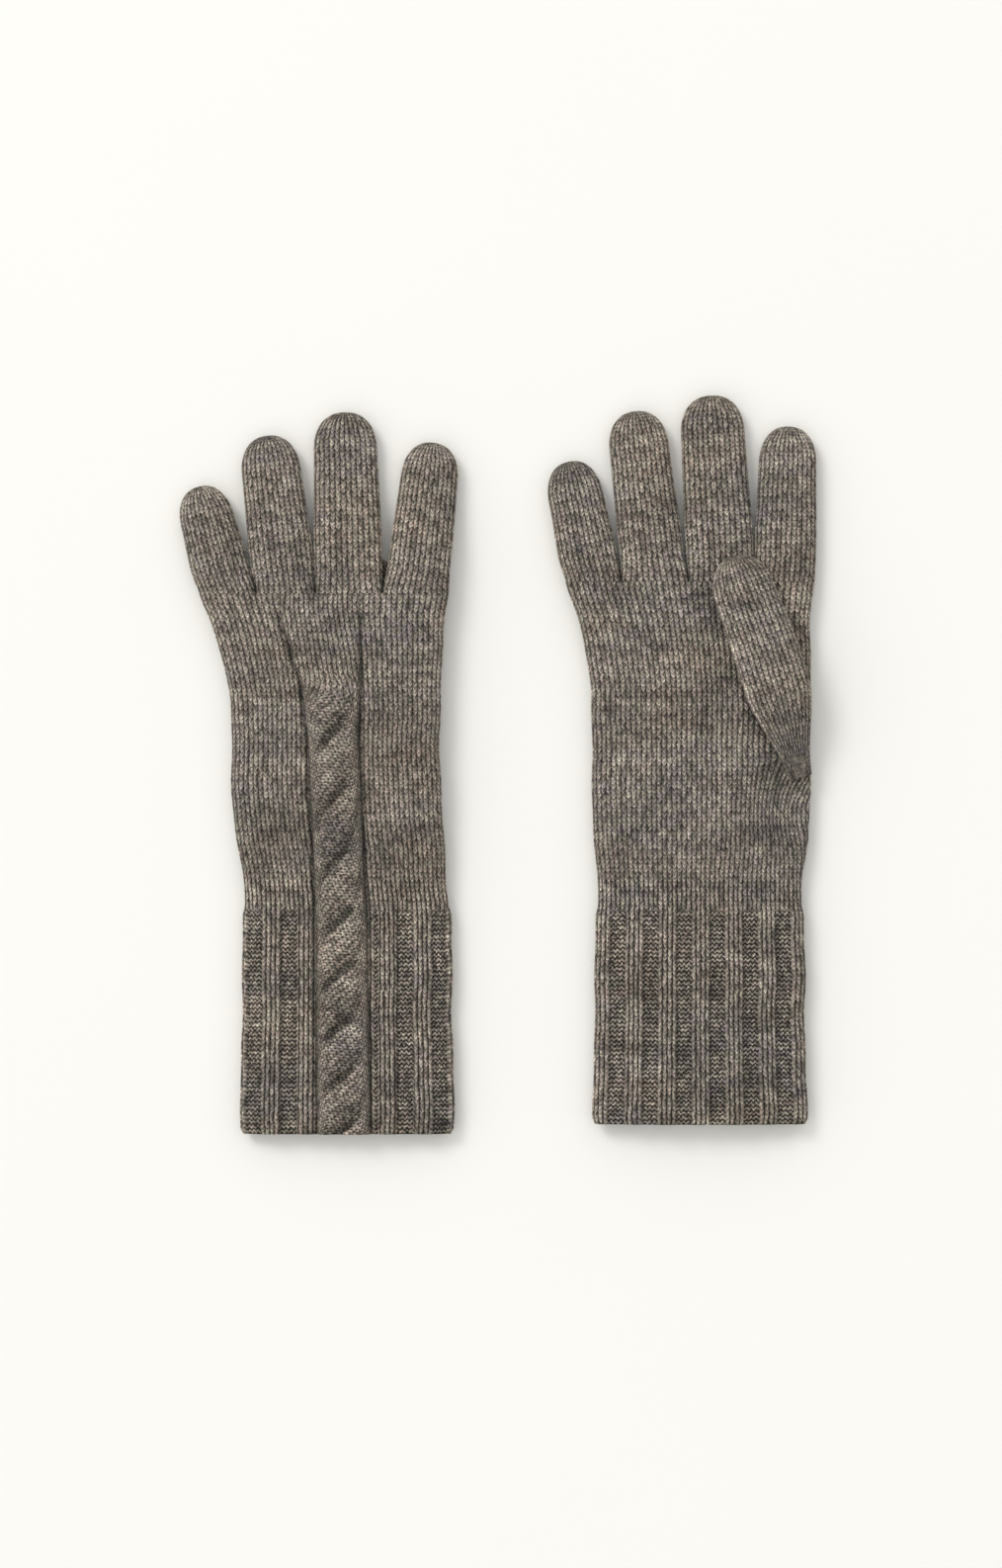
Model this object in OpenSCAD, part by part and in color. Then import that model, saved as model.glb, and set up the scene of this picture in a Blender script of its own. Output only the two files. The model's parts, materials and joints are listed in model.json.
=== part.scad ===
// A pair of five-finger cable-knit gloves with long ribbed cuffs, laid flat side by side.
// The left-hand glove lies back up with its thumb tucked under the palm, and the right-hand
// glove lies palm up with its thumb folded over the palm.
// +X runs to the right, +Y to the fingertips and +Z up. The origin is under the middle of the pair.
// A list of two values holds the left glove's first. A list of four runs from the little finger
// to the forefinger.

/* [Knit] */
// Thickness of one knitted wall
wall = 1.5; // [1:0.1:2.2]
// Thickness of the cuff, hand and finger tubes as they lie, with the air in them
flat_t = 9.6; // [8:0.1:14]
// Height that a cable stands proud of the back
cable_h = 2.5; // [1:0.1:4]
// Width of a cable on the hand and on the cuff
cable_w = [20, 23]; // [12:0.5:28]
// Length of one cable crossing on the hand and on the cuff
cable_pitch = [25, 22.5]; // [16:0.5:32]

/* [Place] */
// Middle of each wrist across the pair
wrist_x = [-62.25, 82.85]; // [-110:0.1:130]
// Place of each wrist line along the pair
wrist_y = [-59.2, -59.2]; // [-80:0.5:-40]

/* [Cuff] */
// Length of each cuff
cuff_l = [92.4, 88.3]; // [60:0.1:140]
// Width of both cuffs at the hem
hem_w = 86; // [76:0.5:104]

/* [Hand] */
// Width of both gloves at the wrist
wrist_w = 83.5; // [74:0.5:100]
// Width of each palm below the flare
palm_w = [86, 90]; // [78:0.5:108]
// Length of each hand from the wrist to the webs
hand_l = [129.5, 134.5]; // [115:0.5:165]
// Length over which a hand flares below the webs
flare_l = 44; // [30:1:60]
// Sideways shift of each palm from the middle of its wrist
palm_shift = [-4.6, 0.6]; // [-8:0.1:8]
// Sideways shift of each row of webs from the middle of its wrist
web_shift = [-9.6, -4.2]; // [-14:0.1:8]

/* [Fingers] */
// Width of a finger past its first knuckle
finger_w = [24, 26.2, 28, 25.4]; // [18:0.1:34]
// How much wider the left glove's fingers are at the webs
left_root_more = [0.3, -1.9, -0.5, 2.1]; // [-3:0.1:3]
// How much wider the right glove's fingers are at the webs
right_root_more = [-0.9, 1.4, -0.9, -0.7]; // [-3:0.1:3]
// Sideways lean of the left glove's fingers in degrees
left_lean = [15.2, 7.1, 1.6, -6.4]; // [-15:0.1:20]
// Sideways lean of the right glove's fingers in degrees
right_lean = [11.5, 6.6, 3.2, -1.7]; // [-15:0.1:20]
// Length of a finger from the web to its first knuckle
base_l = [16, 21, 24, 20.5]; // [12:0.5:34]
// Length of a finger between its two knuckles
middle_l = [13, 20, 24, 19.5]; // [10:0.5:34]
// Length of the left glove's fingers past the second knuckle
left_tip_l = [16.4, 24.4, 26.6, 22.4]; // [14:0.1:36]
// Length of the right glove's fingers past the second knuckle
right_tip_l = [21.2, 29.5, 28.6, 23.7]; // [14:0.1:36]
// Gap between neighbouring fingers where they leave the webs
finger_gap = 0.4; // [0.3:0.1:2]

/* [Thumb] */
// Thickness of each thumb as it lies, the left one pressed flat
thumb_t = [4.2, 7.5]; // [3.6:0.1:12]
// Distance of each gusset's lower end above its wrist
gusset_start = [54.5, 54.5]; // [30:0.5:80]
// Width of a gusset at its lower end
gusset_low_w = 8; // [5:0.5:14]
// Length of a gusset along the edge of the palm
gusset_l = 40; // [28:0.5:56]
// Width of a thumb tube where it leaves the gusset
thumb_w = 28; // [20:0.5:34]
// Lean of a thumb from the edge of the palm in degrees
thumb_lean = 20; // [15:1:30]
// Length of a thumb from the gusset to its knuckle
thumb_base_l = 22; // [14:0.5:30]
// Length of a thumb past its knuckle
thumb_tip_l = 26; // [20:0.5:34]

/* [Clearances] */
// Gap between two stretches of a tube at a fold
fold_gap = 0.3; // [0.3:0.05:1]
// Gap between a folded thumb and the palm, and height of a fold's axis over the knit
lay_gap = 0.3; // [0.3:0.05:1]

/* [Hidden] */
SIDES = [0, 1];
LEFT = 0;
SIDE_NAMES = ["left", "right"];
FINGERS = [0 : 3];
FINGER_NAMES = ["little", "ring", "long", "fore"];
STRETCHES = ["base", "middle", "tip"];

KNIT = [0.46, 0.43, 0.39];
CABLE = [0.50, 0.47, 0.43];

arc_steps = 6;             // facets round each side of a tube
round_depth = 18;          // length over which a fingertip rounds off
round_power = 2.4;         // squareness of that rounding
round_thin = 0.55;         // share of a tube's thickness left at its very end
tip_taper = 0.93;          // share of a finger's width left where its end starts to round
rise_gap = 4.5;            // flat length of hand between that rise and the gusset
rise_l = gusset_start[LEFT] - rise_gap; // length of hand over which the left one rises
rest_l = 16;               // length of finger that still lies over the left thumb
fall_l = 58;               // length of finger over which the left one comes down again
cable_swell = 0.07;        // share by which a cable is wider at the middle of a crossing
cable_steps = 4;           // rows of a cable for each crossing
fan_start = 96;            // height above the wrist where the hand's cable opens out
fan_l = 26;                // length of that fan
fan_w = 30;                // width of that fan at its top
fan_h = 0.8;               // height of that fan at its top
cable_shift = [-5, -1.2];  // sideways place of the cable on the hand and on the cuff

lean = [left_lean, right_lean];
root_w = [finger_w + left_root_more, finger_w + right_root_more];
tip_l = [left_tip_l, right_tip_l];
web_w = [for (g = SIDES) root_w[g] * [1, 1, 1, 1]];

function finger_name(g, f, stretch) = str(SIDE_NAMES[g], "_", FINGER_NAMES[f], "_finger_", stretch);
function mix(a, b, t) = a + (b - a) * t;
function clamp01(t) = max(0, min(1, t));
function ease(t) = let (c = clamp01(t)) c * c * (3 - 2 * c);
function along(a) = [-sin(a), cos(a)];
function across(a) = [cos(a), sin(a)];

// Height of a glove's underside at a distance from its wrist. The left hand and its fingers
// lie over the tucked thumb, and the right glove lies on its own cable.
function thumb_lift(g) = thumb_t[g] + lay_gap;
function lift(g, s) =
    g == LEFT
    ? thumb_lift(g) * min(clamp01(s / rise_l), clamp01((hand_l[g] + rest_l + fall_l - s) / fall_l))
    : cable_h;

// Width and middle of a hand at a distance from its wrist
function flare(g, s) = clamp01((s - hand_l[g] + flare_l) / flare_l);
function hand_w(g, s) =
    mix(mix(wrist_w, palm_w[g], ease(s / rise_l)), web_w[g], pow(flare(g, s), 1.7));
function hand_x(g, s) =
    wrist_x[g] + mix(palm_shift[g] * ease(s / rise_l), web_shift[g], pow(flare(g, s), 1.3));
function palm_edge(g) = wrist_x[g] + palm_shift[g] + palm_w[g] / 2;

// One closed loop of a tube that lies flat: round sides joined by flat faces.
// A row is [middle, lean, width, height of its underside, thickness].
function loop(row) =
    let (t = row[4], r = min(t, row[2]) / 2)
    [for (side = [1, -1], k = [0 : arc_steps])
        let (a = -90 + 180 * k / arc_steps, u = side * (row[2] / 2 - r + r * cos(a)))
        [row[0].x + u * across(row[1]).x, row[0].y + u * across(row[1]).y,
         row[3] + t / 2 + side * t / 2 * sin(a)]];
function inset(row) = [row[0], row[1], row[2] - 2 * wall, row[3] + wall, row[4] - 2 * wall];
function band(from, to, n) =
    [for (j = [0 : n - 1]) let (k = (j + 1) % n)
        each [[from + j, to + j, to + k], [from + j, to + k, from + k]]];

// A hollow knitted tube through the outer rows, open at its first row.
// A closed one ends in a shell that is closed before the last inner row.
module tube(rows, closed = false) {
    n = 2 * (arc_steps + 1);
    last = len(rows) - 1;
    inner = [for (i = [0 : closed ? last - 1 : last]) inset(rows[i])];
    inner_last = len(inner) - 1;
    start = (last + 1) * n;
    outer_faces = [for (i = [0 : last - 1]) each band((i + 1) * n, i * n, n)];
    inner_faces = [for (i = [0 : inner_last - 1]) each band(start + i * n, start + (i + 1) * n, n)];
    end_faces = closed
        ? [[for (j = [0 : n - 1]) last * n + j], [for (j = [0 : n - 1]) start + inner_last * n + n - 1 - j]]
        : band(start + inner_last * n, last * n, n);
    polyhedron(
        [for (row = concat(rows, inner)) each loop(row)],
        concat(outer_faces, inner_faces, band(0, start, n), end_faces)
    );
}

// A solid strip with a flat underside and an arched top. A row is [y, middle, width, z, height].
module strip(rows) {
    n = arc_steps + 1;
    last = len(rows) - 1;
    polyhedron(
        [for (row = rows, k = [0 : arc_steps])
            let (a = 180 * k / arc_steps) [row[1] - row[2] / 2 * cos(a), row[0], row[3] + row[4] * sin(a)]],
        concat(
            [for (i = [0 : last - 1]) each band(i * n, (i + 1) * n, n)],
            [[for (j = [0 : n - 1]) j], [for (j = [0 : n - 1]) last * n + n - 1 - j]]
        )
    );
}

function cuff_row(g, s) =
    [[wrist_x[g], wrist_y[g] - s], 0, mix(wrist_w, hem_w, s / cuff_l[g]), lift(g, 0), flat_t];
module cuff(g) color(KNIT) tube([for (s = [cuff_l[g], cuff_l[g] / 2, fold_gap]) cuff_row(g, s)]);

function hand_row(g, s) = [[hand_x(g, s), wrist_y[g] + s], 0, hand_w(g, s), lift(g, s), flat_t];
module hand(g) {
    flare_at = hand_l[g] - flare_l;
    color(KNIT) tube([
        for (s = [0, rise_l / 3, rise_l * 2 / 3, rise_l, flare_at, mix(flare_at, hand_l[g], 0.4),
                  mix(flare_at, hand_l[g], 0.7), hand_l[g]]) hand_row(g, s)
    ]);
}

// A cable stands on the back: on top of the left glove and under the right one.
module on_back(g) {
    if (g == LEFT) translate([0, 0, flat_t]) children();
    else translate([0, 0, cable_h]) mirror([0, 0, 1]) children();
}
function back_z(g, s) = g == LEFT ? lift(g, s) : 0;
function swell(s, pitch) = 1 + cable_swell * cos(360 * s / pitch);
function cable_row(g, s, x, w, h) = [wrist_y[g] + s, wrist_x[g] + x, w, back_z(g, s), h];

module cuff_cable(g) {
    step = cable_pitch[1] / cable_steps;
    color(CABLE) on_back(g) strip([
        for (s = [-cuff_l[g], each [for (k = [ceil(1 - cuff_l[g] / step) : -1]) k * step], -fold_gap])
            cable_row(g, s, cable_shift[1], cable_w[1] * swell(s, cable_pitch[1]), cable_h)
    ]);
}

module hand_cable(g) {
    step = rise_l / ceil(rise_l * cable_steps / cable_pitch[0]);
    color(CABLE) on_back(g) strip([
        for (s = [0 : step : fan_start])
            cable_row(g, s, mix(cable_shift[1], cable_shift[0], ease(s / rise_l)),
                      cable_w[0] * swell(s, cable_pitch[0]), cable_h),
        cable_row(g, fan_start + fan_l, web_shift[LEFT] + cable_shift[1], fan_w, fan_h)
    ]);
}

// A finger stands on its share of the web line, and leans from the middle of that share.
function before(g, f) = f == 0 ? 0 : root_w[g][f - 1] + before(g, f - 1);
function root_x(g, f) =
    wrist_x[g] + web_shift[g] - web_w[g] / 2 + before(g, f) + root_w[g][f] / 2;
function finger_at(g, f, s) = [root_x(g, f), wrist_y[g] + hand_l[g]] + s * along(lean[g][f]);
function finger_l(g, f) = base_l[f] + middle_l[f] + tip_l[g][f];
function full_w(g, f, s) =
    let (from = base_l[f], to = finger_l(g, f) - round_depth)
    finger_w[f] * mix(1, tip_taper, clamp01((s - from) / (to - from)));
function rounding(g, f, s) =
    let (t = clamp01((s - finger_l(g, f) + round_depth) / round_depth))
    pow(1 - pow(t, round_power), 1 / round_power);
function finger_row(g, f, s) =
    let (share = rounding(g, f, s), t = flat_t * mix(round_thin, 1, share))
    [finger_at(g, f, s), lean[g][f], full_w(g, f, s) * share,
     lift(g, hand_l[g] + s) + (flat_t - t) / 2, t];
function root_row(g, f) = [finger_at(g, f, 0), 0, root_w[g][f] - finger_gap, lift(g, hand_l[g]), flat_t];

module finger_base(g, f) color(KNIT)
    tube([root_row(g, f), finger_row(g, f, min(rest_l, base_l[f] * 0.6)),
          finger_row(g, f, base_l[f] - fold_gap / 2)]);
module finger_middle(g, f) color(KNIT)
    tube([for (s = [fold_gap / 2, middle_l[f] - fold_gap / 2]) finger_row(g, f, base_l[f] + s)]);
module finger_tip(g, f) {
    from = base_l[f] + middle_l[f] + fold_gap / 2;
    to = finger_l(g, f);
    color(KNIT) tube([for (t = [0, 0.3, 0.55, 0.75, 0.9, 0.985]) finger_row(g, f, mix(from, to, t))],
                     closed = true);
}

// A thumb is folded about the edge of the palm: over the palm on the right, under it on the left.
function thumb_z(g) = g == LEFT ? 0 : cable_h + flat_t + lay_gap;
function gusset_y(g) = wrist_y[g] + gusset_start[g];
function thumb_low(g) =
    let (corner = [palm_edge(g), gusset_y(g) + gusset_l]) corner + along(thumb_lean) * thumb_w * 0.35;
function thumb_at(g, s) = thumb_low(g) - across(thumb_lean) * thumb_w / 2 + s * along(thumb_lean);
thumb_l = thumb_base_l + thumb_tip_l;
function thumb_rounding(s) =
    let (t = clamp01((s - thumb_l + round_depth) / round_depth))
    pow(1 - pow(t, round_power), 1 / round_power);
function thumb_row(g, s) =
    let (share = thumb_rounding(s), full = thumb_t[g], t = mix(mix(2 * wall, full, 0.5), full, share))
    [thumb_at(g, s), thumb_lean, mix(thumb_w, thumb_w * tip_taper, s / thumb_l) * share,
     thumb_z(g) + (full - t) / 2, t];

// The gusset is a flat pocket that opens into the thumb.
module thumb_gusset(g) {
    edge = palm_edge(g);
    low = gusset_y(g);
    right = thumb_low(g);
    left = right - across(thumb_lean) * thumb_w;
    slot_h = max(thumb_t[g] - 2 * wall, 0);
    color(KNIT) translate([0, 0, thumb_z(g)]) difference() {
        linear_extrude(thumb_t[g])
            polygon([[edge, low], [edge, low + gusset_l], right, left, [edge - gusset_low_w, low]]);
        translate([0, 0, wall]) linear_extrude(slot_h)
            polygon([
                [edge - wall, low + 3 * wall], [edge - wall, low + gusset_l - wall],
                right - across(thumb_lean) * wall + along(thumb_lean),
                left + across(thumb_lean) * wall + along(thumb_lean),
                [edge - gusset_low_w + wall, low + 3 * wall]
            ]);
    }
}
module thumb_base(g) color(KNIT)
    tube([thumb_row(g, 0), thumb_row(g, thumb_base_l / 2), thumb_row(g, thumb_base_l - fold_gap / 2)]);
module thumb_tip(g) {
    from = thumb_base_l + fold_gap / 2;
    color(KNIT) tube([for (t = [0, 0.3, 0.55, 0.75, 0.9, 0.985]) thumb_row(g, mix(from, thumb_l, t))],
                     closed = true);
}

for (g = SIDES) {
    side = SIDE_NAMES[g];
    cuff(g);
    cuff_cable(g);
    hand(g);
    hand_cable(g);
    thumb_gusset(g);
    thumb_base(g);
    thumb_tip(g);
    for (f = FINGERS) {
        finger_base(g, f);
        finger_middle(g, f);
        finger_tip(g, f);
    }
}
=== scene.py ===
"""A pair of five-finger cable-knit gloves in heathered wool, laid flat on a pale floor."""

import json
import math

import bmesh
import bpy
import numpy as np
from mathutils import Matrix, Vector


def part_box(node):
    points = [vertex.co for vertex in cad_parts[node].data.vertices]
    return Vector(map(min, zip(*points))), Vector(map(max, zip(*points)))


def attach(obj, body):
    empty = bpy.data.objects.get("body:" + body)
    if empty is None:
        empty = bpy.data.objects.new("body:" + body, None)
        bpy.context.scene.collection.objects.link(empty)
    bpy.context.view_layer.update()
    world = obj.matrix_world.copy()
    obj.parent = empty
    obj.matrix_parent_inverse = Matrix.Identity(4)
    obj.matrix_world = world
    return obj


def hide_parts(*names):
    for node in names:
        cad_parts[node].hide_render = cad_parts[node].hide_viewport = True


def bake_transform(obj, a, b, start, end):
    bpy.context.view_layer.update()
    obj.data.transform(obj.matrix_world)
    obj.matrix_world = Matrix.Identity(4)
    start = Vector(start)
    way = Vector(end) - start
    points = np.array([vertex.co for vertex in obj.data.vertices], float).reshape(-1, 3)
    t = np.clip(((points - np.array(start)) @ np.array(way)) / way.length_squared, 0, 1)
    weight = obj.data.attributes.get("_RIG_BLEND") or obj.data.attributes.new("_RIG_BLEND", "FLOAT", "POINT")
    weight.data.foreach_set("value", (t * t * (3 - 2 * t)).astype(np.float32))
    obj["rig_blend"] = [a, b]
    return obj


bl_info = {
    "name": "Cable Knit Gloves",
    "version": (1, 0, 0),
    "blender": (4, 5, 0),
    "location": "View3D > Sidebar > Gloves",
    "description": "Knits a pair of cable gloves around their fixed frame",
    "category": "Object",
}

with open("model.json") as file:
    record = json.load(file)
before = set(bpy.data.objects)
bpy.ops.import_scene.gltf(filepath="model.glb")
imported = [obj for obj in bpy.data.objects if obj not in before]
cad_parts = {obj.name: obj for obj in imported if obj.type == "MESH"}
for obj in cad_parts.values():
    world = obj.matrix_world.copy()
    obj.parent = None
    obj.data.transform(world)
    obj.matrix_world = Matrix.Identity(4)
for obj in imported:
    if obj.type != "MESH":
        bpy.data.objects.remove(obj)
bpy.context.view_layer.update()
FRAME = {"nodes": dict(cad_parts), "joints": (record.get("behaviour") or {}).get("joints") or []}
MM = 0.001
SIDES = ("left", "right")
FINGERS = ("little", "ring", "long", "fore")
JOINTS = {joint["name"]: joint for joint in FRAME["joints"]}

# Lengths in millimetres, unless said.
RING_GAP = 0.15            # frame corners closer than this along a tube are on one ring
FLOOR_GAP = 0.05           # the lowest that a resting stitch comes
SOFT_FLOOR = 0.5           # height below which a stitch is pressed flatter
INNER_ROWS = 12            # rows of the plain inner face
EDGE_ROUND = 6.6           # length over which the side of a lying tube rounds off
RELIEF_ROOM = 0.45         # how far a face is kept inside the frame, for the stitches on it
ROOT_LENGTH = 13.0         # length over which a finger turns from the hand's width to its own
CUFF_JOIN = 12.0           # height over the wrist where the cuff's knit hands over to the hand's
BEND_REACH = 6.0           # length on each side of a knuckle over which a finger bends

PITCH_CHANGE = -4.8        # height over the wrist where the cable takes the cuff's pitch
FAN_START = 8.0            # height over the first slot where the cable begins to open
FAN_LENGTH = 17.0          # length over which it opens out into the fan
FIRST_RIB = 16.6           # from the cable's middle to that of the rib beside it, left glove
RIBS_ROUND = 13            # ribs round the right cuff
PINCH_FOLDS = ((200, 26, 0.9), (228, 34, 1.1), (252, 24, 0.8))     # degrees, reach and depth

# Places in metres.
FLOOR_HALF = 3.0
KEY_PLACE = (-3.6, 3.84, 4.8)
KEY_WIDTH = 2.9
SKY_TOWARD = (-0.62, 0.62, 0.48)
VIEW_MIDDLE = (0.00105, -0.0078)


# ---------------------------------------------------------------- measuring the frame

def node_points(*names):
    """The corners of some frame nodes, in millimetres."""
    sets = []
    for name in names:
        mesh = FRAME["nodes"][name].data
        flat = np.empty(len(mesh.vertices) * 3, np.float32)
        mesh.vertices.foreach_get("co", flat)
        sets.append(flat.reshape(-1, 3))
    return np.concatenate(sets).astype(float) / MM


def node_rings(points, origin, lean):
    """What the rings of a leaning tube measure.

    One row for each ring: distance along, least and greatest across, and lowest point.
    """
    along = np.array([-math.sin(lean), math.cos(lean)])
    across = np.array([math.cos(lean), math.sin(lean)])
    flat = points[:, :2] - origin
    distance = flat @ along
    side = flat @ across
    order = np.argsort(distance)
    breaks = np.nonzero(np.diff(distance[order]) > RING_GAP)[0] + 1
    rings = []
    for ring in np.split(order, breaks):
        rings.append(
            (distance[ring].mean(), side[ring].min(), side[ring].max(), points[ring, 2].min())
        )
    return np.array(rings)


def smooth_line(at, known_at, known, reach):
    """A line through known values, with its corners rounded over a reach."""
    offsets = np.linspace(-1, 1, 9) * reach
    weights = np.cos(np.linspace(-1, 1, 9) * math.pi / 2.2)
    spread = [np.interp(at + offset, known_at, known) for offset in offsets]
    return np.tensordot(weights / weights.sum(), np.array(spread), 1)


def ease(value):
    """0 to 1 with a soft start and end."""
    t = np.clip(value, 0.0, 1.0)
    return t * t * (3 - 2 * t)


def bell(value):
    """A smooth bump of height 1 about 0."""
    return np.exp(-value * value)


# ---------------------------------------------------------------- knitted tubes

def ring_sections(half_w, half_t, left_r, right_r, columns):
    """Flat rings with round sides, walked at an even pace from the left side over the top.

    Each argument holds one value per ring. Returns across, height and the walk's length from
    the middle of the top, all in millimetres.
    """
    quarter = np.linspace(0, math.pi / 2, 9)
    across = np.empty((len(half_w), columns + 1))
    height = np.empty_like(across)
    walk = np.empty_like(across)
    for i, (w, t, lr, rr) in enumerate(zip(half_w, half_t, left_r, right_r)):
        lr, rr = min(lr, w), min(rr, w)
        top_x = np.concatenate([-w + lr - lr * np.cos(quarter), w - rr + rr * np.sin(quarter)])
        top_z = np.concatenate([t * np.sin(quarter), t * np.cos(quarter)])
        x = np.concatenate([top_x, top_x[::-1][1:]])
        z = np.concatenate([top_z, -top_z[::-1][1:]])
        length = np.concatenate([[0], np.cumsum(np.hypot(np.diff(x), np.diff(z)))])
        at = np.linspace(0, length[-1], columns + 1)
        across[i] = np.interp(at, length, x)
        height[i] = np.interp(at, length, z)
        walk[i] = at - length[-1] / 4
    return across, height, walk


def surface_normals(points):
    """Outward normals of a tube's grid, whose last column repeats its first."""
    along = np.gradient(points, axis=0)
    ring = np.roll(points[:, :-1], -1, axis=1) - np.roll(points[:, :-1], 1, axis=1)
    ring = np.concatenate([ring, ring[:, :1]], axis=1)
    normal = np.cross(ring, along)
    length = np.linalg.norm(normal, axis=2, keepdims=True)
    return normal / np.maximum(length, 1e-9)


class Tube:
    """The outer face of one knitted tube, row by row, before it becomes a mesh."""

    def __init__(self, points, walk, rows_at, wales):
        self.base = points
        self.normal = surface_normals(points)
        self.walk = walk
        self.s = np.repeat(np.asarray(rows_at)[:, None], points.shape[1], axis=1)
        turns = np.linspace(-0.25, 0.75, points.shape[1])
        self.wale = np.repeat((turns * wales)[None, :], points.shape[0], axis=0)
        self.relief = np.zeros(walk.shape)
        self.purl = np.zeros(walk.shape)
        # Painted light, passed to the wool as its Shade: above 0 painted shade, below 0 a painted highlight.
        self.shade = np.zeros(walk.shape)
        self.course = self.s / knit_settings().course
        self.wale_relief = np.full(walk.shape, knit_settings().wale_relief)

    def stitch_relief(self):
        """Raises each knit wale as a rib, and each purl course as a row of bumps."""
        knit = knit_settings()
        ribs = 0.5 - 0.5 * np.cos(2 * math.pi * self.wale)
        bumps = np.cos(2 * math.pi * (self.course + 0.18 * np.cos(2 * math.pi * self.wale)))
        self.relief += self.wale_relief * (np.sqrt(ribs) - 0.6) * (1 - self.purl)
        self.relief += knit.purl_relief * bumps * self.purl


def part_of(tube, start, end):
    """Some of a tube's rows, as a tube."""
    part = object.__new__(Tube)
    for key, values in tube.__dict__.items():
        setattr(part, key, values[start:end])
    return part


def woven_piece(name, tube, wall, material, closed=False):
    """One closed double-walled mesh: the worked outer face, and a plain inner face."""
    rows = len(tube.relief)
    outer = tube.base + tube.normal * tube.relief[:, :, None]
    picks = np.rint(np.linspace(rows - 1, 0, INNER_ROWS)).astype(int)
    inner = tube.base[picks] - tube.normal[picks] * wall
    if closed:
        outer[-1] = outer[-1].mean(axis=0)
        inner[0] = inner[0].mean(axis=0)
    resting = FLOOR_GAP + (SOFT_FLOOR - FLOOR_GAP) * np.exp(
        np.minimum(outer[:, :, 2] - SOFT_FLOOR, 0) / (SOFT_FLOOR - FLOOR_GAP)
    )
    outer[:, :, 2] = np.where(outer[:, :, 2] < SOFT_FLOOR, resting, outer[:, :, 2])
    grid = np.concatenate([outer, inner, outer[:1]])
    grid[:, -1] = grid[:, 0]

    def rowed(values):
        return np.concatenate([values, values[picks], values[:1]])

    uv = np.stack([rowed(tube.wale), rowed(tube.course)], axis=2)
    purl, shade = rowed(tube.purl), rowed(tube.shade)
    rim = np.zeros(grid.shape[:2])
    rim[0] = rim[-1] = 1
    if not closed:
        rim[rows - 1] = 1

    shape = bmesh.new()
    bmesh.ops.create_grid(
        shape, x_segments=grid.shape[1] - 1, y_segments=grid.shape[0] - 1, size=0.5
    )
    mesh = bpy.data.meshes.new(name)
    shape.to_mesh(mesh)
    shape.free()
    flat = np.empty(len(mesh.vertices) * 3, np.float32)
    mesh.vertices.foreach_get("co", flat)
    flat = flat.reshape(-1, 3)
    i = np.rint((flat[:, 0] + 0.5) * (grid.shape[1] - 1)).astype(int)
    j = np.rint((flat[:, 1] + 0.5) * (grid.shape[0] - 1)).astype(int)
    mesh.vertices.foreach_set("co", (grid[j, i] * MM).astype(np.float32).ravel())
    corners = np.empty(len(mesh.loops), np.int32)
    mesh.loops.foreach_get("vertex_index", corners)
    layer = mesh.uv_layers.new(name="Knit")
    layer.data.foreach_set("uv", uv[j, i][corners].astype(np.float32).ravel())
    for attribute, values in (("Purl", purl), ("Shade", shade), ("Rim", rim)):
        made = mesh.attributes.new(attribute, "FLOAT", "POINT")
        made.data.foreach_set("value", values[j, i].astype(np.float32).ravel())

    shape = bmesh.new()
    shape.from_mesh(mesh)
    bmesh.ops.remove_doubles(shape, verts=shape.verts, dist=2e-6)
    wires = [edge for edge in shape.edges if not edge.link_faces]
    bmesh.ops.delete(shape, geom=wires, context="EDGES")
    if shape.calc_volume(signed=True) < 0:
        bmesh.ops.reverse_faces(shape, faces=shape.faces)
    rims = shape.verts.layers.float["Rim"]
    for edge in shape.edges:
        edge.smooth = not (edge.verts[0][rims] > 0.5 and edge.verts[1][rims] > 0.5)
    for face in shape.faces:
        face.smooth = True
    shape.to_mesh(mesh)
    shape.free()
    mesh.attributes.remove(mesh.attributes["Rim"])
    piece = bpy.data.objects.new(name, mesh)
    bpy.context.scene.collection.objects.link(piece)
    mesh.materials.append(material)
    return piece


# ---------------------------------------------------------------- one glove's lasting measures

class Glove:
    """What the frame says about one glove, in millimetres."""

    def __init__(self, side):
        self.side = side
        self.back_up = side == "left"
        self.wrist_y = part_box(side + "_hand")[0].y / MM
        self.web_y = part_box(side + "_hand")[1].y / MM
        self.hem_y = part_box(side + "_cuff")[0].y / MM
        self.middle = JOINTS[side + "_wrist_fold"]["pos_m"][0] / MM
        rows = node_rings(node_points(side + "_cuff", side + "_hand"), np.zeros(2), 0.0)
        self.row_y, self.row_left, self.row_right, self.row_low = rows.T
        low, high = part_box(side + "_cuff")
        self.thick = (high.z - low.z) / MM

    def edges(self, y):
        """Left and right edge of the hand and cuff at places along the glove."""
        left = smooth_line(y, self.row_y, self.row_left, 7.0)
        right = smooth_line(y, self.row_y, self.row_right, 7.0)
        waver = 0.35 * np.sin(y / 9.0 + self.middle) + 0.25 * np.sin(y / 4.3)
        return left + waver * 0.6, right - waver

    def underside(self, y):
        """Height of the underside along the glove."""
        return smooth_line(y, self.row_y, self.row_low, 6.0)

    def droop(self, x, y, low):
        """How far the knit sags below the frame's underside at a place across the hand."""
        left, right = self.edges(y)
        share = (x - left) / np.maximum(right - left, 1.0)
        if self.back_up:
            return low * (1 - ease(share / 0.55)) * 0.9
        return low * 0.85 * ease((np.abs(share - 0.5) - 0.14) / 0.3)

    def cable_middle(self, y):
        """Middle of the cable at places along the glove."""
        s = y - self.wrist_y
        return self.middle + np.interp(
            s, [-90, 0, 40, 92, 123], [-1.4, -2.6, -4.0, -6.4, -11.4]
        )

    def cable_half(self, y):
        """Half the width of the cable at places along the glove."""
        s = y - self.wrist_y
        return np.interp(s, [-90, -5, 5, 70, 92, 123], [11.0, 10.8, 10.2, 10.4, 12.0, 16.4])


# ---------------------------------------------------------------- stitch patterns

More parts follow.
